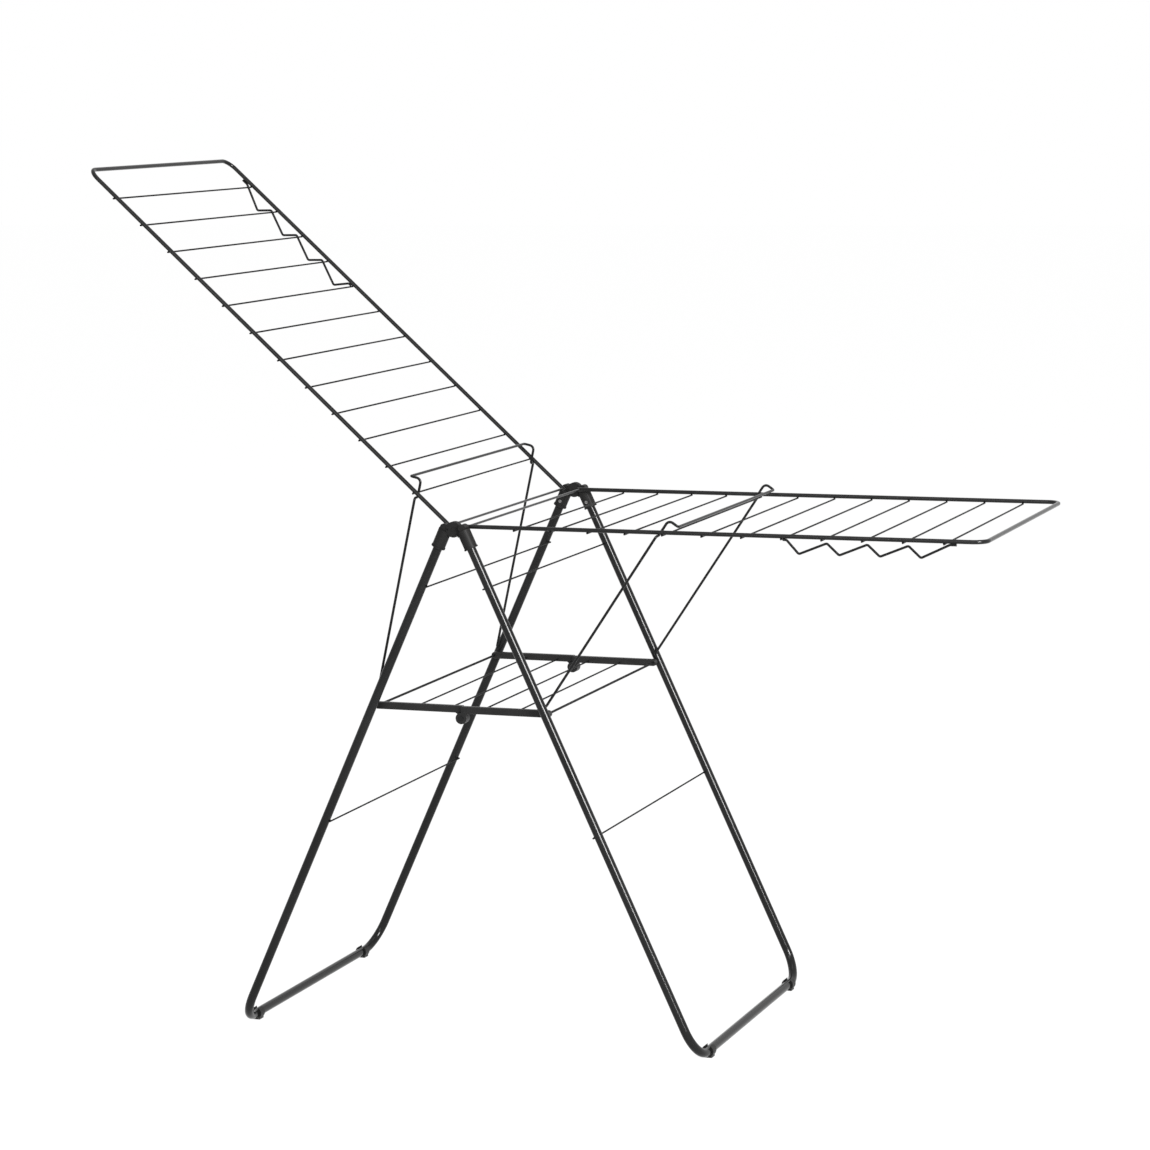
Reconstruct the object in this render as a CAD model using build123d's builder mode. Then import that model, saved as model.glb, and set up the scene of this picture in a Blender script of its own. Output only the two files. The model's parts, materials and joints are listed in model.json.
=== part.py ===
from build123d import *
import os
from math import acos, atan2, cos, degrees, hypot, radians, sin

# Folding clothes drying rack: two U-shaped leg frames hinged at the top, a folding shelf that
# locks them apart, and two winged drying frames, each held up by a wire prop.
# Millimetres, +Z up, floor at z = 0. +X is the right wing, -Y is the front.
# Each half of the rack is the other half turned 180 degrees about Z, so every piece is drawn
# for the right-hand half, about the middle of its own leg frame, and a copy is turned over.

# ---- driving dimensions ------------------------------------------------------------------
# Leg frames
hinge_height = 866.0        # leg pivot above the floor
leg_angle = 24.6            # each leg from the vertical, rack standing open
leg_offset = 14.9           # leg pivot to the leg tube's axis
frame_half_width = 286.4    # middle of a frame to its leg tubes
tube_diameter = 15.0
tube_wall = 1.0
bend_radius = 50.0          # leg into foot bar
foot_pad = 3.0              # plastic under the foot bar
foot_length = 16.0
foot_pad_width = 15.0
foot_ring_opening = 9.0
leg_line_diameter = 2.8
upper_line_drop = 109.0     # along the leg, below the foot of the pivot
lower_line_drop = 551.5

# Top hinges
plate_thickness = 5.5
plate_gap = 0.4             # between the two lapped plates
plate_radius = 13.0
rivet_diameter = 6.0
rivet_head_diameter = 8.0
rivet_head_height = 1.2
rivet_seat_depth = 1.8
socket_wall = 3.5
socket_top = 8.5            # along the leg, from the foot of the pivot
socket_length = 32.0
socket_insert = 27.0        # leg tube pushed this far into its socket
socket_fit = 0.05
head_radius = 6.5           # boss round the wing pivot bar
head_half_thickness = 8.0
pivot_bar_depth = 5.0       # blind bore in the boss
lip_height = 0.8
lip_length = 2.5
flute_radius = 1.2
screw_diameter = 3.0
screw_head_diameter = 5.6
screw_head_height = 1.6
screw_seat = 1.0            # flat for the screw head cut into the socket
screw_length = 6.0
screw_from_end = 11.0       # socket screw above the socket's mouth

# Wings
wing_axis_x = 17.0          # wing pivot beside the leg pivot
wing_axis_rise = 3.0        # wing pivot above the leg pivot
wing_length = 864.0         # wing pivot to the axis of the end bar
right_wing_angle = 0.0      # above level
wing_side_gap = 7.4         # leg tube to rail, where the legs of the prop run
rail_diameter = 7.0
wing_corner_radius = 22.0
rail_end = 4.5              # rail past the wing pivot
pivot_bar_diameter = 4.0
line_diameter = 2.8
line_count = 12
first_line = 81.0           # wing pivot to the first drying line
inner_pitch = 63.5          # lines 1 to 5, which the props can catch
inner_line_count = 5
outer_pitch = 66.2          # lines 5 to 12
weld_gap = 0.05

# Hanger rail: a zigzag wire under one rail of each wing
hanger_diameter = 4.0
hanger_depth = 22.0         # notch below the wire's weld line
hanger_first_line = 8
hanger_notches = 4
hanger_notch_offset = 29.0  # notch beyond its drying line
hanger_peak_offset = 9.0    # weld beyond its drying line
hanger_peak_drop = 3.5      # middle peaks below the weld line
hanger_end_offset = 20.0    # outer end beyond its drying line
hanger_bend = 4.0

# Props
prop_diameter = 4.4
prop_pivot_drop = 324.6     # along the leg, below the foot of the pivot
prop_pivot_out = 2.6        # outside the leg tube's axis
prop_setback = 8.0          # shoulder on the hinge side of the line it hooks over
prop_hook_rise = 31.0       # shoulder to the top of the hook
prop_hook_reach = 19.0      # hook's cross bar beside the wire
prop_bend = 4.0
hook_bend = 8.0
right_prop_line = 5         # the right wing is flat, held at its fifth line
left_prop_line = 1          # the left wing is raised, held at its first line

# Shelf
shelf_rod_diameter = 4.0
shelf_rod_drop = 337.0      # along the leg, below the foot of the pivot
shelf_rod_in = 2.6          # inside the leg tube's axis
shelf_bar_height = 12.0
shelf_bar_width = 10.0
shelf_bar_round = 2.0
butt_gap = 0.4              # between the bar ends that meet above the knuckle
knuckle_drop = 14.0         # shelf knuckle below the two rods
knuckle_radius = 9.6
knuckle_pin_diameter = 5.0
knuckle_pin_head = 8.0
knuckle_pin_head_height = 1.0
knuckle_gusset = 16.0       # web from knuckle to bar ends this far along the bar
spacer_diameter = 5.8
spacer_length = 4.5
shelf_line_places = (30.0, 90.0)
shelf_line_sink = 2.0       # shelf line below the middle of the bar
shelf_line_depth = 3.0      # line ends set into the bars

# Clearances
running_fit = 0.05          # radial, round a turning pin
moving_gap = 0.35           # between bodies that move past each other
stub_gap = 0.4              # prop ends and left shelf rod short of the leg tubes

# ---- places worked out from the dimensions -----------------------------------------------
leg_tilt = radians(leg_angle)
leg_down = Vector(sin(leg_tilt), 0, -cos(leg_tilt))
leg_out = Vector(cos(leg_tilt), 0, sin(leg_tilt))
leg_foot = Vector(0, 0, hinge_height) + leg_out * leg_offset
half_shift = (plate_thickness + plate_gap) / 2
tube_radius = tube_diameter / 2
socket_radius = tube_radius + socket_wall
rail_radius = rail_diameter / 2
line_radius = line_diameter / 2
prop_radius = prop_diameter / 2
foot_bar_height = tube_radius + foot_pad
foot_drop = (leg_foot.Z - foot_bar_height) / cos(leg_tilt)
socket_end = socket_top + socket_length
tube_inner_face = frame_half_width - tube_radius
wing_axis = Vector(wing_axis_x, 0, hinge_height + wing_axis_rise)
wing_half_width = tube_inner_face - wing_side_gap - rail_radius
line_drop = rail_radius + line_radius + weld_gap
line_half_length = wing_half_width + rail_radius - 0.2
prop_leg_y = wing_half_width + rail_radius + moving_gap + prop_radius
prop_inner_y = wing_half_width - rail_radius - prop_radius - 2 * moving_gap
shelf_bar_outer = wing_half_width + rail_radius - 0.2
shelf_bar_inner = shelf_bar_outer - shelf_bar_width


def leg_point(y, drop, out=0.0):
    """A point by its place across the frame, down the leg and out from the leg's axis."""
    return leg_foot + leg_down * drop + leg_out * out + Vector(0, y, 0)


def line_place(number):
    """Distance of a drying line from the wing pivot; line 1 is next to the hinge."""
    inner = min(number, inner_line_count) - 1
    outer = max(number - inner_line_count, 0)
    return first_line + inner * inner_pitch + outer * outer_pitch


def side_plane(y):
    """Plane facing the front, whose sketch coordinates are world x and z."""
    return Plane(origin=(0, y, 0), x_dir=(1, 0, 0), z_dir=(0, -1, 0))


def wing_point(y, along, up, angle):
    """A point by its place across the wing, out along it and above its middle plane."""
    turn = radians(angle)
    forward = Vector(cos(turn), 0, sin(turn))
    normal = Vector(-sin(turn), 0, cos(turn))
    return wing_axis + forward * along + normal * up + Vector(0, y, 0)


# The prop, the leg and the wing make a triangle. The flat right wing fixes the prop's length,
# and the same prop at the left wing's first line gives that wing's angle.
prop_pivot = leg_point(0, prop_pivot_drop, prop_pivot_out)
shoulder_drop = rail_radius + prop_radius + moving_gap
right_shoulder_along = line_place(right_prop_line) - prop_setback
right_shoulder = wing_point(0, right_shoulder_along, -shoulder_drop, right_wing_angle)
prop_length = (right_shoulder - prop_pivot).length
left_shoulder_along = line_place(left_prop_line) - prop_setback
left_arm = hypot(left_shoulder_along, shoulder_drop)
pivot_arm = (prop_pivot - wing_axis).length
pivot_below = degrees(atan2(wing_axis.Z - prop_pivot.Z, prop_pivot.X - wing_axis.X))
triangle_angle = degrees(acos(
    (left_arm ** 2 + pivot_arm ** 2 - prop_length ** 2) / (2 * left_arm * pivot_arm)))
left_wing_angle = triangle_angle - pivot_below + degrees(atan2(shoulder_drop, left_shoulder_along))

shelf_rod = leg_point(0, shelf_rod_drop, -shelf_rod_in)
knuckle = Vector(0, 0, shelf_rod.Z - knuckle_drop)

# The origin stands on the floor under the middle of the whole rack, wings included.
wing_spans = [cos(radians(angle)) * wing_length for angle in (right_wing_angle, left_wing_angle)]
origin_shift = (wing_spans[0] - wing_spans[1]) / 2

os.makedirs("parts", exist_ok=True)


def write(piece, name, side="right"):
    """Put a piece drawn for the right-hand half on its side of the rack and write it."""
    placed = piece.part.moved(Location((0, -half_shift, 0)))
    if side == "left":
        placed = placed.rotate(Axis.Z, 180)
    placed = placed.moved(Location((-origin_shift, 0, 0)))
    placed.label = name
    export_step(placed, f"parts/{name}.step")


def straight_bar(start, end, diameter):
    """A round bar between two points, added to the part being built."""
    direction = end - start
    with BuildSketch(Plane(origin=start, z_dir=direction)) as section:
        Circle(diameter / 2)
    extrude(section.sketch, amount=direction.length)


# ---- leg frames --------------------------------------------------------------------------
def leg_tube():
    """One tube bent to a U: front leg, foot bar and back leg, drilled for rod, prop and screw."""
    top = socket_end - socket_insert
    screw = leg_point(0, socket_end - screw_from_end)
    holes = ((shelf_rod, shelf_rod_diameter), (prop_pivot, prop_diameter), (screw, screw_diameter))
    with BuildPart() as tube:
        with BuildLine() as path:
            FilletPolyline(
                leg_point(-frame_half_width, top),
                leg_point(-frame_half_width, foot_drop),
                leg_point(frame_half_width, foot_drop),
                leg_point(frame_half_width, top),
                radius=bend_radius,
            )
        with BuildSketch(Plane(origin=path.line @ 0, z_dir=path.line % 0)):
            Circle(tube_radius)
            Circle(tube_radius - tube_wall, mode=Mode.SUBTRACT)
        sweep()
        for side in (-1, 1):
            hole_depth = tube_radius + tube_wall
            for place, diameter in holes:
                start = place + Vector(0, side * (tube_inner_face - 1), 0)
                with BuildSketch(Plane(origin=start, z_dir=(0, side, 0))):
                    Circle(diameter / 2 + running_fit)
                extrude(amount=hole_depth, mode=Mode.SUBTRACT)
    return tube


def leg_line(drop):
    """Thin cross line welded to the inner side of both legs, flush with their outer sides."""
    out = -(tube_radius + leg_line_diameter / 2 + weld_gap)
    reach = frame_half_width + tube_radius / 2
    with BuildPart() as line:
        straight_bar(leg_point(-reach, drop, out), leg_point(reach, drop, out), leg_line_diameter)
    return line


def foot_cap(side):
    """Plastic ring clipped round the foot bar beside its bend, with a flat pad on the floor."""
    bar = leg_point(0, foot_drop)
    middle = side * (frame_half_width - bend_radius - foot_length / 2 - 2)
    with BuildPart() as cap:
        with BuildSketch(side_plane(middle + foot_length / 2)):
            with Locations((bar.X, bar.Z)):
                Circle(foot_bar_height)
            with Locations((bar.X, bar.Z / 2)):
                Rectangle(foot_pad_width, bar.Z)
            with Locations((bar.X, bar.Z)):
                Circle(tube_radius + running_fit, mode=Mode.SUBTRACT)
            with Locations((bar.X, 2 * bar.Z)):
                Rectangle(foot_ring_opening, 2 * foot_pad + 6, mode=Mode.SUBTRACT)
        extrude(amount=foot_length)
    return cap


# ---- top hinges --------------------------------------------------------------------------
def top_hinge(side):
    """Moulding on one leg end: lapped plate, socket for the tube, boss for the wing's bar."""
    middle = side * frame_half_width
    mouth = leg_point(middle, socket_end)
    bottom_corner = (8.6, hinge_height - plate_radius)
    web_end = leg_point(0, socket_top + 10, 4)
    with BuildPart() as hinge:
        with BuildSketch(side_plane(middle + plate_thickness / 2)):
            with Locations((0, hinge_height)):
                Circle(plate_radius)
            with BuildLine():
                Polyline((0, hinge_height), bottom_corner, (web_end.X, web_end.Z),
                         (wing_axis.X, wing_axis.Z), close=True)
            make_face()
        extrude(amount=plate_thickness)
        with BuildSketch(side_plane(middle + head_half_thickness)):
            with Locations((wing_axis.X, wing_axis.Z)):
                Circle(head_radius)
        extrude(amount=2 * head_half_thickness)
        with BuildSketch(Plane(origin=leg_point(middle, socket_top), x_dir=leg_out, z_dir=leg_down)):
            Circle(socket_radius)
        extrude(amount=socket_length)
        with BuildSketch(Plane(origin=mouth - leg_down * lip_length, z_dir=leg_down)):
            Circle(socket_radius + lip_height)
        extrude(amount=lip_length)

        # Two shallow flutes down the outer face of the socket
        flute_plane = Plane(origin=mouth - leg_down * (lip_length + 2), x_dir=leg_out, z_dir=-leg_down)
        with BuildSketch(flute_plane):
            for place in (-1, 1):
                turn = radians(28 * place)
                reach = socket_radius + flute_radius / 3
                across = -side * reach * cos(turn)
                with Locations((reach * sin(turn), across)):
                    Circle(flute_radius)
        extrude(amount=socket_length - lip_length - 8, mode=Mode.SUBTRACT)

        # Bore for the leg tube
        with BuildSketch(Plane(origin=mouth, z_dir=-leg_down)):
            Circle(tube_radius + socket_fit)
        extrude(amount=socket_insert, mode=Mode.SUBTRACT)

        # Room for the plate of the other leg end, which laps the +Y face of this one
        with BuildSketch(side_plane(middle + plate_thickness / 2 + 2 * socket_radius)):
            with Locations((0, hinge_height)):
                Circle(plate_radius + plate_gap)
        extrude(amount=2 * socket_radius, mode=Mode.SUBTRACT)

        # Rivet hole with a sunk seat, and the small moulding recess beside it
        with BuildSketch(side_plane(middle + plate_thickness)):
            with Locations((0, hinge_height)):
                Circle(rivet_diameter / 2 + running_fit)
        extrude(amount=2 * plate_thickness, mode=Mode.SUBTRACT)
        with BuildSketch(side_plane(middle - plate_thickness / 2 + rivet_seat_depth)):
            with Locations((0, hinge_height)):
                Circle(rivet_head_diameter / 2 + running_fit)
        extrude(amount=rivet_seat_depth, mode=Mode.SUBTRACT)
        with BuildSketch(side_plane(middle - plate_thickness / 2 + rivet_seat_depth)):
            with Locations((2.3 - plate_radius, hinge_height)):
                Circle(1.6)
        extrude(amount=rivet_seat_depth, mode=Mode.SUBTRACT)

        # Blind bore for the wing's pivot bar, from the side facing the rack's middle
        face = side * (frame_half_width - head_half_thickness - 1)
        with BuildSketch(Plane(origin=wing_axis + Vector(0, face, 0), z_dir=(0, side, 0))):
            Circle(pivot_bar_diameter / 2 + running_fit)
        extrude(amount=pivot_bar_depth + 2, mode=Mode.SUBTRACT)

        # Hole and flat seat for the socket screw
        screw = leg_point(side * (frame_half_width - socket_radius - 2), socket_end - screw_from_end)
        with BuildSketch(Plane(origin=screw, z_dir=(0, side, 0))):
            Circle(screw_head_diameter / 2 + 0.3)
        extrude(amount=screw_seat + 2, mode=Mode.SUBTRACT)
        with BuildSketch(Plane(origin=screw, z_dir=(0, side, 0))):
            Circle(screw_diameter / 2 + running_fit)
        extrude(amount=socket_radius - tube_radius + 3, mode=Mode.SUBTRACT)
    return hinge


def hinge_rivets():
    """The two rivets of the leg hinge, front and back, each with two sunk heads."""
    with BuildPart() as rivets:
        for side in (-1, 1):
            near = side * frame_half_width - plate_thickness / 2 + rivet_seat_depth
            far = near + 2 * (plate_thickness - rivet_seat_depth + running_fit) + plate_gap
            with BuildSketch(side_plane(far)):
                with Locations((0, hinge_height)):
                    Circle(rivet_diameter / 2)
            extrude(amount=far - near)
            for face in (near, far + rivet_head_height):
                with BuildSketch(side_plane(face)):
                    with Locations((0, hinge_height)):
                        Circle(rivet_head_diameter / 2)
                extrude(amount=rivet_head_height)
    return rivets


def socket_screws():
    """One screw through the inner face of each socket into the leg tube."""
    seat = frame_half_width - socket_radius + screw_seat
    with BuildPart() as screws:
        for side in (-1, 1):
            place = leg_point(0, socket_end - screw_from_end)
            head = place + Vector(0, side * (seat - screw_head_height), 0)
            with BuildSketch(Plane(origin=head, z_dir=(0, side, 0))):
                Circle(screw_head_diameter / 2)
            extrude(amount=screw_head_height)
            with BuildSketch(Plane(origin=place + Vector(0, side * seat, 0), z_dir=(0, side, 0))):
                Circle(screw_diameter / 2)
            extrude(amount=screw_length)
            with BuildSketch(Plane(origin=head, z_dir=(0, side, 0))):
                Rectangle(3.6, 0.7, mode=Mode.ADD)
                Rectangle(0.7, 3.6, mode=Mode.ADD)
            extrude(amount=0.9, mode=Mode.SUBTRACT)
    return screws


# ---- wings -------------------------------------------------------------------------------
def wing_frame(angle):
    """Rails and end bar in one bent bar; the inner ends are bored for the pivot bar."""
    with BuildPart() as frame:
        with BuildLine() as path:
            FilletPolyline(
                wing_point(-wing_half_width, -rail_end, 0, angle),
                wing_point(-wing_half_width, wing_length, 0, angle),
                wing_point(wing_half_width, wing_length, 0, angle),
                wing_point(wing_half_width, -rail_end, 0, angle),
                radius=wing_corner_radius,
            )
        with BuildSketch(Plane(origin=path.line @ 0, z_dir=path.line % 0)):
            Circle(rail_radius)
        sweep()
        for side in (-1, 1):
            middle = side * wing_half_width + rail_diameter
            with BuildSketch(side_plane(middle)):
                with Locations((wing_axis.X, wing_axis.Z)):
                    Circle(pivot_bar_diameter / 2 + weld_gap)
            extrude(amount=2 * rail_diameter, mode=Mode.SUBTRACT)
    return frame


def wing_pivot_bar():
    """Thin bar through both rails, its ends turning in the bosses of the top hinges."""
    reach = frame_half_width - head_half_thickness + pivot_bar_depth - 0.5
    with BuildPart() as bar:
        straight_bar(wing_axis + Vector(0, -reach, 0), wing_axis + Vector(0, reach, 0),
                     pivot_bar_diameter)
    return bar


def wing_lines(angle):
    """The drying lines, welded across the under side of the rails."""
    with BuildPart() as lines:
        for number in range(1, line_count + 1):
            along = line_place(number)
            straight_bar(wing_point(-line_half_length, along, -line_drop, angle),
                         wing_point(line_half_length, along, -line_drop, angle), line_diameter)
    return lines


def hanger(angle):
    """Zigzag wire under one rail, with notches that hold coat hangers apart."""
    weld = -(rail_radius + hanger_diameter / 2 + weld_gap)
    start = line_place(hanger_first_line) + line_radius + 1.5
    heights = [(start, weld)]
    for notch in range(hanger_notches):
        line = line_place(hanger_first_line + notch)
        heights.append((line + hanger_peak_offset, weld if notch == 0 else weld - hanger_peak_drop))
        heights.append((line + hanger_notch_offset, weld - hanger_depth))
    last = line_place(hanger_first_line + hanger_notches)
    heights.append((last + hanger_peak_offset, weld))
    heights.append((last + hanger_end_offset, weld))
    points = [wing_point(-wing_half_width, along, up, angle) for along, up in heights]
    with BuildPart() as wire:
        with BuildLine() as path:
            FilletPolyline(*points, radius=hanger_bend)
        with BuildSketch(Plane(origin=path.line @ 0, z_dir=path.line % 0)):
            Circle(hanger_diameter / 2)
        sweep()
    return wire


# ---- props -------------------------------------------------------------------------------
def prop(shoulder):
    """One bent wire: stub ends at the leg holes, legs, jogs under the rails, hook on top."""
    rise = (shoulder - prop_pivot).normalized()
    aside = Vector(rise.Z, 0, -rise.X)
    hook_top = shoulder + rise * prop_hook_rise
    hook_bar = hook_top + aside * prop_hook_reach
    stub_end = tube_inner_face - stub_gap
    half = (
        (prop_pivot, stub_end),
        (prop_pivot, prop_leg_y),
        (shoulder, prop_leg_y),
        (shoulder, prop_inner_y),
        (hook_top, prop_inner_y),
        (hook_bar, prop_inner_y),
    )
    points = [place + Vector(0, -across, 0) for place, across in half]
    points += [place + Vector(0, across, 0) for place, across in reversed(half)]
    bends = [prop_bend] * 3 + [hook_bend] + [prop_bend] * 2 + [hook_bend] + [prop_bend] * 3
    with BuildPart() as wire:
        with BuildLine() as path:
            FilletPolyline(*points, radius=bends)
        with BuildSketch(Plane(origin=path.line @ 0, z_dir=path.line % 0)):
            Circle(prop_radius)
        sweep()
    return wire


# ---- shelf -------------------------------------------------------------------------------
def shelf_bar(side):
    """Side bar of one shelf half, from its loop on the rod to the lapped knuckle."""
    outer = side * shelf_bar_outer
    inner = side * shelf_bar_inner
    high_y = max(outer, inner)
    lap = side * (shelf_bar_outer + shelf_bar_inner) / 2 + half_shift
    disc_face = lap - plate_gap / 2
    bottom = shelf_rod.Z - shelf_bar_height / 2
    web = radians(30)
    with BuildPart() as bar:
        with BuildSketch(side_plane(high_y)):
            with Locations(((shelf_rod.X + butt_gap / 2) / 2, shelf_rod.Z)):
                Rectangle(shelf_rod.X - butt_gap / 2, shelf_bar_height)
            with Locations((shelf_rod.X, shelf_rod.Z)):
                Circle(shelf_bar_height / 2)
        extrude(amount=shelf_bar_width)
        long_edges = bar.edges().filter_by(Axis.X)
        fillet(long_edges, shelf_bar_round)

        # Knuckle disc and its web, on the -Y side of the lap
        with BuildSketch(side_plane(disc_face)):
            with Locations((knuckle.X, knuckle.Z)):
                Circle(knuckle_radius)
            with BuildLine():
                Polyline(
                    (knuckle.X + butt_gap / 2, knuckle.Z),
                    (knuckle_radius * cos(web), knuckle.Z + knuckle_radius * sin(web)),
                    (knuckle_gusset, bottom + shelf_bar_round),
                    (knuckle.X + butt_gap / 2, bottom + shelf_bar_round),
                    close=True,
                )
            make_face()
        extrude(amount=disc_face - (high_y - shelf_bar_width))

        # Room for the other half's disc, and the bores for pin, rod and shelf lines
        with BuildSketch(side_plane(high_y + 1)):
            with Locations((knuckle.X, knuckle.Z)):
                Circle(knuckle_radius + moving_gap)
        extrude(amount=high_y + 1 - disc_face, mode=Mode.SUBTRACT)
        with BuildSketch(side_plane(high_y + 1)):
            with Locations((knuckle.X, knuckle.Z)):
                Circle(knuckle_pin_diameter / 2 + running_fit)
            with Locations((shelf_rod.X, shelf_rod.Z)):
                Circle(shelf_rod_diameter / 2 + weld_gap)
        extrude(amount=shelf_bar_width + 2, mode=Mode.SUBTRACT)
        for place in shelf_line_places:
            start = Vector(place, inner - side, shelf_rod.Z - shelf_line_sink)
            with BuildSketch(Plane(origin=start, z_dir=(0, side, 0))):
                Circle(line_radius + weld_gap)
            extrude(amount=shelf_line_depth + 1.2, mode=Mode.SUBTRACT)
    return bar


def shelf_rod_bar(half_length):
    """Rod that the bars of one shelf half turn on."""
    with BuildPart() as rod:
        straight_bar(shelf_rod + Vector(0, -half_length, 0), shelf_rod + Vector(0, half_length, 0),
                     shelf_rod_diameter)
    return rod


def shelf_lines():
    """Cross lines of one shelf half, their ends set into the two side bars."""
    reach = shelf_bar_inner + shelf_line_depth
    with BuildPart() as lines:
        for place in shelf_line_places:
            middle = Vector(place, 0, shelf_rod.Z - shelf_line_sink)
            straight_bar(middle - Vector(0, reach, 0), middle + Vector(0, reach, 0), line_diameter)
    return lines


def rod_spacers():
    """Short sleeves on the rod between the side bars and the leg tubes."""
    with BuildPart() as spacers:
        for side in (-1, 1):
            start = shelf_rod + Vector(0, side * (shelf_bar_outer + weld_gap), 0)
            with BuildSketch(Plane(origin=start, z_dir=(0, side, 0))):
                Circle(spacer_diameter / 2)
                Circle(shelf_rod_diameter / 2 + weld_gap, mode=Mode.SUBTRACT)
            extrude(amount=spacer_length)
    return spacers


def knuckle_pins():
    """The two pins that join the shelf halves, front and back, headed at both ends."""
    with BuildPart() as pins:
        for side in (-1, 1):
            low = min(side * shelf_bar_outer, side * shelf_bar_inner) - weld_gap
            high = low + shelf_bar_width + 2 * half_shift + weld_gap + plate_gap / 2
            with BuildSketch(side_plane(high)):
                with Locations((knuckle.X, knuckle.Z)):
                    Circle(knuckle_pin_diameter / 2)
            extrude(amount=high - low)
            for face in (low, high + knuckle_pin_head_height):
                with BuildSketch(side_plane(face)):
                    with Locations((knuckle.X, knuckle.Z)):
                        Circle(knuckle_pin_head / 2)
                extrude(amount=knuckle_pin_head_height)
    return pins


# ---- the rack ----------------------------------------------------------------------------
for half in ("right", "left"):
    on_right = half == "right"
    wing_angle = right_wing_angle if on_right else left_wing_angle
    prop_line = right_prop_line if on_right else left_prop_line
    prop_shoulder = wing_point(0, line_place(prop_line) - prop_setback, -shoulder_drop, wing_angle)
    rod_half_length = frame_half_width - 5 if on_right else tube_inner_face - stub_gap

    write(leg_tube(), f"{half}_leg_tube", half)
    write(leg_line(upper_line_drop), f"{half}_upper_leg_line", half)
    write(leg_line(lower_line_drop), f"{half}_lower_leg_line", half)
    for drawn_side, place in ((-1, "front"), (1, "back")):
        if not on_right:
            place = "back" if place == "front" else "front"
        write(foot_cap(drawn_side), f"{half}_{place}_foot_cap", half)
        write(top_hinge(drawn_side), f"{half}_{place}_hinge", half)
        write(shelf_bar(drawn_side), f"{half}_{place}_side_bar", half)
    write(socket_screws(), f"{half}_socket_screws", half)
    write(wing_frame(wing_angle), f"{half}_wing_frame", half)
    write(wing_pivot_bar(), f"{half}_wing_pivot_bar", half)
    write(wing_lines(wing_angle), f"{half}_wing_lines", half)
    write(hanger(wing_angle), f"{half}_hanger", half)
    write(prop(prop_shoulder), f"{half}_prop", half)
    write(shelf_rod_bar(rod_half_length), f"{half}_shelf_rod", half)
    write(shelf_lines(), f"{half}_shelf_lines", half)
    write(rod_spacers(), f"{half}_rod_spacers", half)

write(hinge_rivets(), "hinge_rivets", "right")
write(knuckle_pins(), "knuckle_pins", "right")
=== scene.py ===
import json
import math

import bpy
from mathutils import Matrix, Vector


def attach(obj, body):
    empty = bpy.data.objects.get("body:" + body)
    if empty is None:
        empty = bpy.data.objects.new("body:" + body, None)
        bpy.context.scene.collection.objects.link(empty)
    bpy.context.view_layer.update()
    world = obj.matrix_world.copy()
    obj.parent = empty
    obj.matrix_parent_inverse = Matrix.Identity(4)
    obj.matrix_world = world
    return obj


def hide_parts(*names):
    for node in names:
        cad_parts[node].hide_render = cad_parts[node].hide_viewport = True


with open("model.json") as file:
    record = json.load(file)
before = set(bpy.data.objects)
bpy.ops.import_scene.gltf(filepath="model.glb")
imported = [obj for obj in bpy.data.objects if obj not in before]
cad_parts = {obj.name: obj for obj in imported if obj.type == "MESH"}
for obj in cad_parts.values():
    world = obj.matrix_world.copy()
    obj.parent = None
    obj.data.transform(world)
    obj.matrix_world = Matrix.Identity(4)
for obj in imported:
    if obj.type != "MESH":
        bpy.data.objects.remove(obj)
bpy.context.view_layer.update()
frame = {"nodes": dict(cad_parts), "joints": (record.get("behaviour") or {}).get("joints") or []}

nodes = frame["nodes"]

# ---- Leg tubes -----------------------------------------------------------------------------
# Two U-shaped legs of 15 mm steel tube, bent round at the foot bar and powder coated black.
# The coat is satin, with the faint orange peel that such a coat dries with and a little dust.


class Socket:
    """A value on a node board that can be used in sums like a number."""

    def __init__(self, board, socket):
        self.board, self.socket = board, socket

    def sum(self, operation, first, second):
        return self.board.node("ShaderNodeMath", {"operation": operation}, {0: first, 1: second})

    def __add__(self, other): return self.sum("ADD", self, other)
    def __radd__(self, other): return self.sum("ADD", other, self)
    def __sub__(self, other): return self.sum("SUBTRACT", self, other)
    def __rsub__(self, other): return self.sum("SUBTRACT", other, self)
    def __mul__(self, other): return self.sum("MULTIPLY", self, other)
    def __rmul__(self, other): return self.sum("MULTIPLY", other, self)
    def least(self, other): return self.sum("MINIMUM", self, other)
    def most(self, other): return self.sum("MAXIMUM", self, other)

    def clear(self, low, high):
        """0 below low, 1 above high and straight between."""
        return self.board.node("ShaderNodeMapRange", {"clamp": True},
                               {"Value": self, "From Min": low, "From Max": high})


class Board:
    """A tree of nodes being wired up."""

    def node(self, kind, settings, values, output=0):
        made = self.tree.nodes.new(kind)
        for name, setting in settings.items():
            setattr(made, name, setting)
        for name, value in values.items():
            self.connect(made.inputs[name], value)
        return Socket(self, made.outputs[output])

    def connect(self, end, value):
        if isinstance(value, Socket):
            self.tree.links.new(value.socket, end)
        else:
            end.default_value = value


class Finish(Board):
    """A material being made up from nodes."""

    def __init__(self, name):
        self.material = bpy.data.materials.new(name)
        self.material.use_nodes = True
        self.tree = self.material.node_tree
        self.surface = self.tree.nodes["Principled BSDF"]
        self.place = self.node("ShaderNodeTexCoord", {}, {}, "Object")

    def set(self, **values):
        for name, value in values.items():
            self.connect(self.surface.inputs[name.replace("_", " ")], value)

    def noise(self, scale, detail=2.0, roughness=0.5):
        return self.node("ShaderNodeTexNoise", {}, {
            "Vector": self.place, "Scale": scale, "Detail": detail, "Roughness": roughness})

    def mix(self, amount, first, second):
        return self.node("ShaderNodeMix", {"data_type": "RGBA"},
                         {0: amount, 6: first, 7: second}, 2)

    def bump(self, height, strength, distance):
        return self.node("ShaderNodeBump", {}, {
            "Height": height, "Strength": strength, "Distance": distance})


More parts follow.
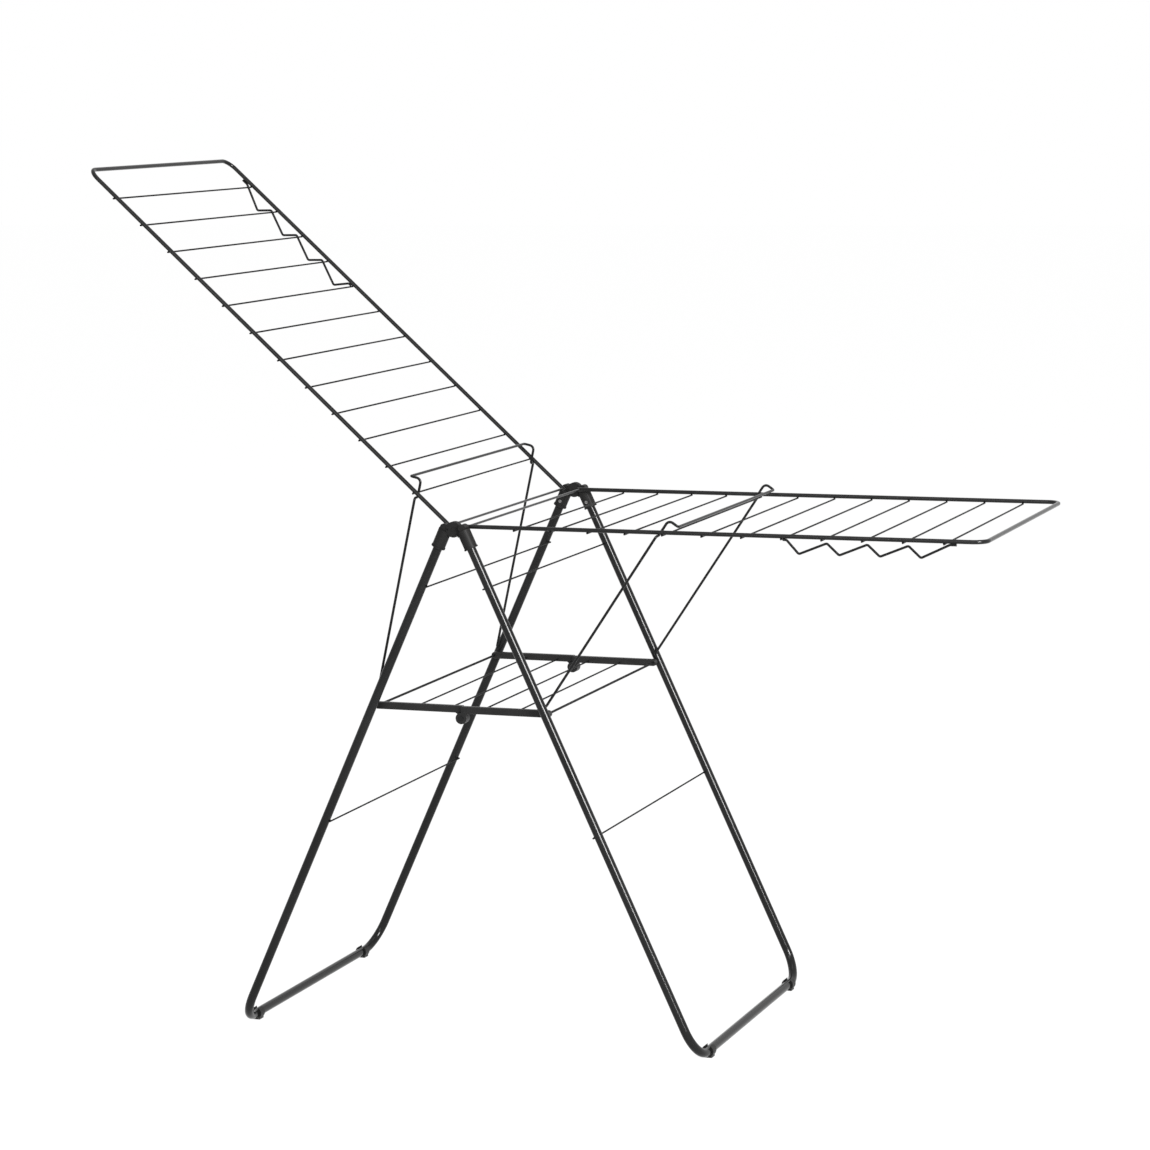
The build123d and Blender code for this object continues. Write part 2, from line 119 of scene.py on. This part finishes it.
def grey(value, warm=0.0):
    return (value * (1 + warm), value, value * (1 - warm), 1)


def powder_coat(name, black, gloss, shine, peel_scale):
    """Black powder coat on steel: smudged sheen, orange peel and a few pale specks of dust."""
    dust, dust_cover = grey(0.16, 0.03), 0.5
    smudge_dulling, streak_dulling = 0.05, 0.05
    peel_strength, peel_depth = 0.06, 0.00010
    coat = Finish(name)
    smudge = coat.noise(7.0, 4.0, 0.6)
    streak = coat.noise(38.0, 3.0, 0.55)
    speck = coat.noise(1400.0, 1.0).clear(0.76, 0.82)
    colour = coat.mix(smudge.clear(0.35, 0.7), grey(black), grey(black * 1.6, -0.02))
    peel = coat.noise(peel_scale, 2.0) + coat.noise(95.0, 2.0) * 0.6
    coat.set(Base_Color=coat.mix(speck * dust_cover, colour, dust),
             Roughness=(gloss + smudge.clear(0.4, 0.75) * smudge_dulling
                        + (streak - 0.5) * streak_dulling),
             Normal=coat.bump(peel, peel_strength, peel_depth),
             Specular_IOR_Level=shine)
    return coat.material


def wear(material, *names):
    """Give carried-over pieces their finish."""
    for name in names:
        mesh = nodes[name].data
        mesh.materials.clear()
        mesh.materials.append(material)


tube_coat = powder_coat("tube_powder_coat", 0.0050, 0.14, 0.17, 620.0)
wear(tube_coat, "right_leg_tube", "left_leg_tube")

# ---- Leg cross lines -----------------------------------------------------------------------
# Two thin wires welded across the inner side of each pair of legs, under the same black coat.
# On so thin a wire the coat is uneven, so it is duller than on the tubes.
wire_coat = powder_coat("wire_powder_coat", 0.0040, 0.34, 0.03, 900.0)
wear(wire_coat, "right_upper_leg_line", "right_lower_leg_line",
     "left_upper_leg_line", "left_lower_leg_line")

# ---- Foot caps -----------------------------------------------------------------------------
# Dark plastic rings clipped round the foot bars beside their bends, each with a flat pad.
# The mould leaves a fine spark texture, and the pads are scuffed grey where they slide.


def moulded_plastic(name, black, gloss, shine, scuff_height):
    """Dark moulded plastic, scuffed below a height above the floor."""
    scuffed, scuff_cover, scuff_dulling = grey(0.12, 0.02), 0.7, 0.2
    cloud_dulling = 0.07
    spark_strength, spark_depth = 0.16, 0.00012
    plastic = Finish(name)
    height = plastic.node("ShaderNodeSeparateXYZ", {}, {"Vector": plastic.place}, "Z")
    scuff = plastic.noise(240.0, 4.0, 0.7).clear(0.5, 0.68)
    low = 1 - height.clear(scuff_height * 0.4, scuff_height)
    cloud = plastic.noise(30.0, 3.0).clear(0.35, 0.7)
    colour = plastic.mix(cloud, grey(black), grey(black * 1.35, 0.02))
    spark = plastic.noise(1700.0, 2.0)
    plastic.set(Base_Color=plastic.mix(scuff * low * scuff_cover, colour, scuffed),
                Roughness=gloss + cloud * cloud_dulling + scuff * low * scuff_dulling,
                Normal=plastic.bump(spark, spark_strength, spark_depth),
                Specular_IOR_Level=shine)
    return plastic.material


rack_corners = [f"{side}_{end}" for side in ("right", "left") for end in ("front", "back")]
foot_plastic = moulded_plastic("foot_plastic", 0.0065, 0.40, 0.15, 0.006)
wear(foot_plastic, *(f"{corner}_foot_cap" for corner in rack_corners))

# ---- Top hinges ----------------------------------------------------------------------------
# Four dark mouldings on the leg ends. Each holds its tube in a socket, laps the plate of the
# opposite leg and carries a wing's pivot bar.
hinge_plastic = moulded_plastic("hinge_plastic", 0.0075, 0.44, 0.09, 0.001)
wear(hinge_plastic, *(f"{corner}_hinge" for corner in rack_corners))

# ---- Rivets, socket screws and knuckle pins ------------------------------------------------
# Two dark rivets join the hinge plates, four zinc-plated screws hold the tubes in their
# sockets, and two black pins go through the shelf knuckles.


def zinc_plate(name):
    """Dull zinc plate with fine turning marks and darker patches."""
    bright, dark = grey(0.27, 0.01), grey(0.14, 0.03)
    mark_strength, mark_depth = 0.12, 0.00005
    zinc = Finish(name)
    patch = zinc.noise(420.0, 3.0, 0.6)
    mark = zinc.node("ShaderNodeTexWave", {"wave_type": "RINGS"}, {
        "Vector": zinc.place, "Scale": 900.0, "Distortion": 3.0, "Detail": 2.0}, "Fac")
    zinc.set(Base_Color=zinc.mix(patch.clear(0.4, 0.7), bright, dark),
             Roughness=0.34 + patch * 0.16,
             Metallic=1.0,
             Normal=zinc.bump(mark, mark_strength, mark_depth))
    return zinc.material


wear(zinc_plate("zinc_plate"), "right_socket_screws", "left_socket_screws")
wear(hinge_plastic, "hinge_rivets")
wear(tube_coat, "knuckle_pins")

# ---- Wing frames and pivot bars ------------------------------------------------------------
# Each wing is one 7 mm rod bent to a U, and turns on a thin bar that runs between the hinges.
# The rods have the coat of the legs, a little shinier.
rail_coat = powder_coat("rail_powder_coat", 0.0045, 0.15, 0.20, 760.0)
wear(rail_coat, "right_wing_frame", "left_wing_frame",
     "right_wing_pivot_bar", "left_wing_pivot_bar")

# ---- Drying lines --------------------------------------------------------------------------
# Twelve thin wires under each wing, closer together beside the hinge where a prop can catch
# them. Their cut ends are rounded over by the coat.


class Pattern(Board):
    """A repeated piece, laid out by nodes and turned into a plain mesh."""

    def __init__(self, name):
        self.tree = bpy.data.node_groups.new(name, "GeometryNodeTree")
        self.tree.interface.new_socket("Geometry", in_out="OUTPUT",
                                       socket_type="NodeSocketGeometry")
        self.entry = self.tree.nodes.new("NodeGroupInput")
        self.exit = self.tree.nodes.new("NodeGroupOutput")

    def input(self, name, kind="Float"):
        self.tree.interface.new_socket(name, in_out="INPUT", socket_type=f"NodeSocket{kind}")
        return Socket(self, self.entry.outputs[name])

    def spot(self, x=0.0, y=0.0, z=0.0):
        return self.node("ShaderNodeCombineXYZ", {}, {0: x, 1: y, 2: z})

    def end(self, geometry, material):
        """Close the tree: real faces, smooth and in their finish."""
        real = self.node("GeometryNodeRealizeInstances", {}, {"Geometry": geometry})
        smooth = self.node("GeometryNodeSetShadeSmooth", {}, {"Geometry": real})
        done = self.node("GeometryNodeSetMaterial", {}, {"Geometry": smooth, "Material": material})
        self.connect(self.exit.inputs[0], done)

    def make(self, name, place, values):
        """One finished piece, its mesh moved to its place on the rack."""
        carrier = bpy.data.objects.new(name + "_layout", bpy.data.meshes.new(name + "_layout"))
        bpy.context.scene.collection.objects.link(carrier)
        layout = carrier.modifiers.new("layout", "NODES")
        layout.node_group = self.tree
        for item in self.tree.interface.items_tree:
            if item.in_out == "INPUT":
                layout[item.identifier] = values[item.name]
        ready = carrier.evaluated_get(bpy.context.evaluated_depsgraph_get())
        mesh = bpy.data.meshes.new_from_object(ready)
        mesh.name = name
        mesh.transform(place)
        bpy.data.objects.remove(carrier)
        piece = bpy.data.objects.new(name, mesh)
        bpy.context.scene.collection.objects.link(piece)
        return piece


lines = Pattern("drying_lines")
count, first = lines.input("Count", "Int"), lines.input("First")
inner_pitch, outer_pitch = lines.input("Inner pitch"), lines.input("Outer pitch")
inner_gaps, half_length = lines.input("Inner gaps"), lines.input("Half length")
radius, drop = lines.input("Radius"), lines.input("Drop")

# One wire along Y: rings close up over each rounded end, and the rest is straight
rings, end_rings, sides_round, tip_size = 12, 5, 20, 0.04
ring = lines.node("GeometryNodeInputIndex", {}, {})
turn = ring.least(rings - 1 - ring).least(end_rings) * (math.pi / 2 / end_rings)
half = lines.node("ShaderNodeMath", {"operation": "SIGN"}, {0: ring - (rings - 1) / 2})
fall = 1 - lines.node("ShaderNodeMath", {"operation": "COSINE"}, {0: turn})
swell = lines.node("ShaderNodeMath", {"operation": "SINE"}, {0: turn}).most(tip_size)
spine = lines.node("GeometryNodeMeshLine", {}, {"Count": rings})
spine = lines.node("GeometryNodeSetPosition", {}, {
    "Geometry": spine, "Position": lines.spot(y=half * (half_length - radius * fall))})
spine = lines.node("GeometryNodeMeshToCurve", {}, {"Mesh": spine})
section = lines.node("GeometryNodeCurvePrimitiveCircle", {}, {
    "Resolution": sides_round, "Radius": radius})
wire = lines.node("GeometryNodeCurveToMesh", {}, {
    "Curve": spine, "Profile Curve": section, "Scale": swell, "Fill Caps": True})

# The row of wires, going out from the wing's pivot
number = lines.node("GeometryNodeInputIndex", {}, {})
along = first + number.least(inner_gaps) * inner_pitch
along = along + (number - inner_gaps).most(0) * outer_pitch
row = lines.node("GeometryNodeMeshLine", {}, {"Count": count})
row = lines.node("GeometryNodeSetPosition", {}, {
    "Geometry": row, "Position": lines.spot(x=along, z=0 - drop)})
lines.end(lines.node("GeometryNodeInstanceOnPoints", {}, {"Points": row, "Instance": wire}),
          wire_coat)

line_row = {"Count": 12, "First": 0.081, "Inner pitch": 0.0635, "Outer pitch": 0.0662,
            "Inner gaps": 4.0, "Half length": 0.2713, "Radius": 0.0014, "Drop": 0.00495}
joints = {joint["name"]: joint for joint in frame["joints"]}
half_shift = 0.00295


def half_place(side, x, z):
    """The two halves of the rack face opposite ways, each a little off its middle."""
    shift, turn = (half_shift, math.pi) if side == "left" else (-half_shift, 0)
    return Matrix.Translation((x, shift, z)) @ Matrix.Rotation(turn, 4, "Z")


def wing_place(side, rise):
    """Where a flat right wing lands when it is put on one side and raised."""
    pivot = Vector(joints[f"{side}_wing_fold"]["pos_m"])
    return half_place(side, pivot.x, pivot.z) @ Matrix.Rotation(-math.radians(rise), 4, "Y")


wing_rise = {"right": 0.0, "left": 42.313}
for side, rise in wing_rise.items():
    wires = lines.make(f"{side}_drying_lines", wing_place(side, rise), line_row)
    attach(wires, f"{side}_wing")
    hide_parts(f"{side}_wing_lines")

# ---- Weld beads ----------------------------------------------------------------------------
# A small uneven bead where each drying line meets a rail, and where each cross line meets a
# leg. They are lumps of melted wire, coated over with the rest.
beads = Pattern("weld_beads")
count, first, pitch = beads.input("Count", "Int"), beads.input("First"), beads.input("Pitch")
inner_gaps, outer_pitch = beads.input("Inner gaps"), beads.input("Outer pitch")
spread, drop = beads.input("Half spread"), beads.input("Drop")
size, seed = beads.input("Size"), beads.input("Seed", "Int")
lumpiness, spin_limit, least_growth, most_growth = 0.5, 0.35, 0.8, 1.15

number = beads.node("GeometryNodeInputIndex", {}, {})
pair = beads.node("ShaderNodeMath", {"operation": "FLOOR"}, {0: number * 0.5})
half = (number - pair * 2) * 2 - 1
along = first + pair.least(inner_gaps) * pitch + (pair - inner_gaps).most(0) * outer_pitch
row = beads.node("GeometryNodeMeshLine", {}, {"Count": count * 2})
row = beads.node("GeometryNodeSetPosition", {}, {
    "Geometry": row, "Position": beads.spot(along, half * spread, 0 - drop)})
lump = beads.node("GeometryNodeMeshIcoSphere", {}, {"Radius": 1.0, "Subdivisions": 3})
uneven = beads.node("ShaderNodeTexNoise", {"noise_dimensions": "4D"}, {
    "W": seed * 1.7, "Scale": 1.3, "Detail": 1.0}) - 0.5
outward = beads.node("GeometryNodeInputNormal", {}, {})
swollen = beads.node("ShaderNodeVectorMath", {"operation": "SCALE"}, {
    0: outward, 3: uneven * lumpiness})
lump = beads.node("GeometryNodeSetPosition", {}, {"Geometry": lump, "Offset": swollen})
spin = beads.node("FunctionNodeRandomValue", {"data_type": "FLOAT"},
                  {2: -spin_limit, 3: spin_limit, "ID": number, "Seed": seed}, 1)
grow = beads.node("FunctionNodeRandomValue", {"data_type": "FLOAT"},
                  {2: least_growth, 3: most_growth, "ID": number, "Seed": seed + 1}, 1) * size
placed = beads.node("GeometryNodeInstanceOnPoints", {}, {
    "Points": row, "Instance": lump, "Rotation": beads.spot(z=spin),
    "Scale": beads.spot(grow, grow * 1.25, grow * 0.62)})
beads.end(placed, wire_coat)

wing_beads = {"Pitch": line_row["Inner pitch"], "Half spread": 0.268, "Drop": 0.0037,
              "Size": 0.0019, **{name: line_row[name] for name in (
                  "Count", "First", "Outer pitch", "Inner gaps")}}
for seed_number, (side, rise) in enumerate(wing_rise.items(), 3):
    melted = beads.make(f"{side}_wing_welds", wing_place(side, rise),
                        {**wing_beads, "Seed": seed_number})
    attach(melted, f"{side}_wing")

hinge_height, leg_offset, leg_lean = 0.866, 0.0149, math.radians(24.6)
leg_half_spread = 0.2864
leg_line_drops = (0.109, 0.5515)
for seed_number, side in enumerate(("right", "left"), 7):
    centre = joints["frame_fold"]["pos_m"][0]
    leg_top = Vector((math.cos(leg_lean), 0, math.sin(leg_lean))) * leg_offset
    down_leg = (half_place(side, centre, 0)
                @ Matrix.Translation((leg_top.x, 0, hinge_height + leg_top.z))
                @ Matrix.Rotation(math.pi / 2 - leg_lean, 4, "Y"))
    melted = beads.make(f"{side}_leg_welds", down_leg, {
        "Count": 2, "First": leg_line_drops[0], "Pitch": leg_line_drops[1] - leg_line_drops[0],
        "Outer pitch": 0.0, "Inner gaps": 4.0, "Half spread": leg_half_spread, "Drop": 0.0078,
        "Size": 0.0020, "Seed": seed_number})
    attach(melted, "stand" if side == "right" else "left_frame")

# ---- Hangers and props ---------------------------------------------------------------------
# A zigzag wire under one rail of each wing holds clothes hangers. Each prop is one bent wire
# that stands in the leg tubes and hooks over a drying line.
prop_coat = powder_coat("prop_powder_coat", 0.0045, 0.20, 0.12, 820.0)
wear(prop_coat, "right_hanger", "left_hanger", "right_prop", "left_prop")

# ---- Shelf ---------------------------------------------------------------------------------
# Two folding halves: dark moulded side bars with steel rods and lines between them. The front
# bar is bare, and small spacers keep the halves clear of the legs.
shelf_plastic = moulded_plastic("shelf_plastic", 0.0065, 0.36, 0.20, 0.001)
wear(shelf_plastic, *(f"{corner}_side_bar" for corner in rack_corners),
     "right_rod_spacers", "left_rod_spacers")
wear(wire_coat, "right_shelf_rod", "left_shelf_rod", "right_shelf_lines", "left_shelf_lines")

# ---- Floor and room ------------------------------------------------------------------------
# A plain white floor that keeps a faint shadow, in a white room. Seen straight or in a
# reflection the room is white; as light it is a little under half as strong.
floor_mesh = bpy.data.meshes.new("floor")
floor_reach, floor_white, floor_glow, glow_share = 30.0, 0.86, 1.06, 0.90
corners = [(x * floor_reach, y * floor_reach, 0) for x, y in ((-1, -1), (1, -1), (1, 1), (-1, 1))]
floor_mesh.from_pydata(corners, [], [(0, 1, 2, 3)])
floor = bpy.data.objects.new("floor", floor_mesh)
bpy.context.scene.collection.objects.link(floor)
floor_paint = Finish("floor_paint")
floor_paint.set(Base_Color=grey(floor_white), Roughness=0.9, Specular_IOR_Level=0.1)
rays = floor_paint.tree.nodes.new("ShaderNodeLightPath")


def seen(paint, rays):
    """1 for what is seen straight, in gloss or through glass."""
    straight = Socket(paint, rays.outputs["Is Camera Ray"])
    gloss = Socket(paint, rays.outputs["Is Glossy Ray"])
    through = Socket(paint, rays.outputs["Is Transmission Ray"])
    return (straight + gloss + through).least(1.0)


white = floor_paint.node("ShaderNodeEmission", {}, {
    "Color": (1, 1, 1, 1), "Strength": floor_glow})
body_of_floor = Socket(floor_paint, floor_paint.surface.outputs[0])
blend = floor_paint.node("ShaderNodeMixShader", {}, {
    0: seen(floor_paint, rays) * glow_share, 1: body_of_floor, 2: white})
floor_paint.connect(floor_paint.tree.nodes["Material Output"].inputs["Surface"], blend)
floor_mesh.materials.append(floor_paint.material)


class Room(Board):
    """The world round the rack."""

    def __init__(self, name):
        self.world = bpy.data.worlds.new(name)
        self.world.use_nodes = True
        self.tree = self.world.node_tree


room = Room("white_room")
rays = room.tree.nodes.new("ShaderNodeLightPath")
room_light = 0.45
room.connect(room.tree.nodes["Background"].inputs["Color"], (1, 1, 1, 1))
room.connect(room.tree.nodes["Background"].inputs["Strength"],
             seen(room, rays) * (1 - room_light) + room_light)
bpy.context.scene.world = room.world

# ---- Lamps ---------------------------------------------------------------------------------
# A wide softbox in front, a little above the rack; a smaller and much brighter one at the
# front right that draws one thin highlight down the right legs; and a soft lamp overhead.


middle_height = 0.7


def softbox(name, direction, distance, width, height, brightness):
    """A rectangular lamp aimed at the middle of the rack, as bright as a lit surface."""
    lamp = bpy.data.lights.new(name, "AREA")
    lamp.shape = "RECTANGLE"
    lamp.size, lamp.size_y = width, height
    lamp.energy = brightness * math.pi * width * height
    holder = bpy.data.objects.new(name, lamp)
    away = Vector(direction).normalized()
    aim = Vector((0.0, 0.0, middle_height))
    holder.matrix_world = (Matrix.Translation(aim + away * distance)
                           @ away.to_track_quat("Z", "Y").to_matrix().to_4x4())
    bpy.context.scene.collection.objects.link(holder)


softbox("front_softbox", (0.0, -0.92, 0.39), 8.0, 4.6, 1.7, 5.5)
softbox("right_strip", (0.70, -0.60, 0.32), 7.0, 2.4, 2.2, 60.0)
softbox("overhead", (0.1, -0.1, 1.0), 5.0, 2.6, 2.6, 1.6)

bpy.context.scene.view_settings.view_transform = "Standard"

# ---- Camera --------------------------------------------------------------------------------
# A long lens from the right front of the rack and a little above its middle, turned a trace
# off level. Distances are metres from the rack's own origin on the floor.
camera_place = Vector((2.0878, -5.6979, 1.6035))
camera_turn = math.radians(20.21)
camera_tip = math.radians(-7.954)
camera_roll = math.radians(-0.887)
lens_to_picture_width = 3611.5 / 1150
sensor_width = 36

look = Vector((-math.sin(camera_turn) * math.cos(camera_tip),
               math.cos(camera_turn) * math.cos(camera_tip), math.sin(camera_tip)))
level_right = Vector((math.cos(camera_turn), math.sin(camera_turn), 0))
level_up = level_right.cross(look)
right = level_right * math.cos(camera_roll) + level_up * math.sin(camera_roll)
up = level_up * math.cos(camera_roll) - level_right * math.sin(camera_roll)
camera_data = bpy.data.cameras.new("camera")
camera_data.sensor_width = sensor_width
camera_data.lens = lens_to_picture_width * sensor_width
camera_data.clip_end = 60
camera = bpy.data.objects.new("camera", camera_data)
camera.matrix_world = Matrix((
    (right.x, up.x, -look.x, camera_place.x),
    (right.y, up.y, -look.y, camera_place.y),
    (right.z, up.z, -look.z, camera_place.z),
    (0, 0, 0, 1)))
bpy.context.scene.collection.objects.link(camera)
bpy.context.scene.camera = camera
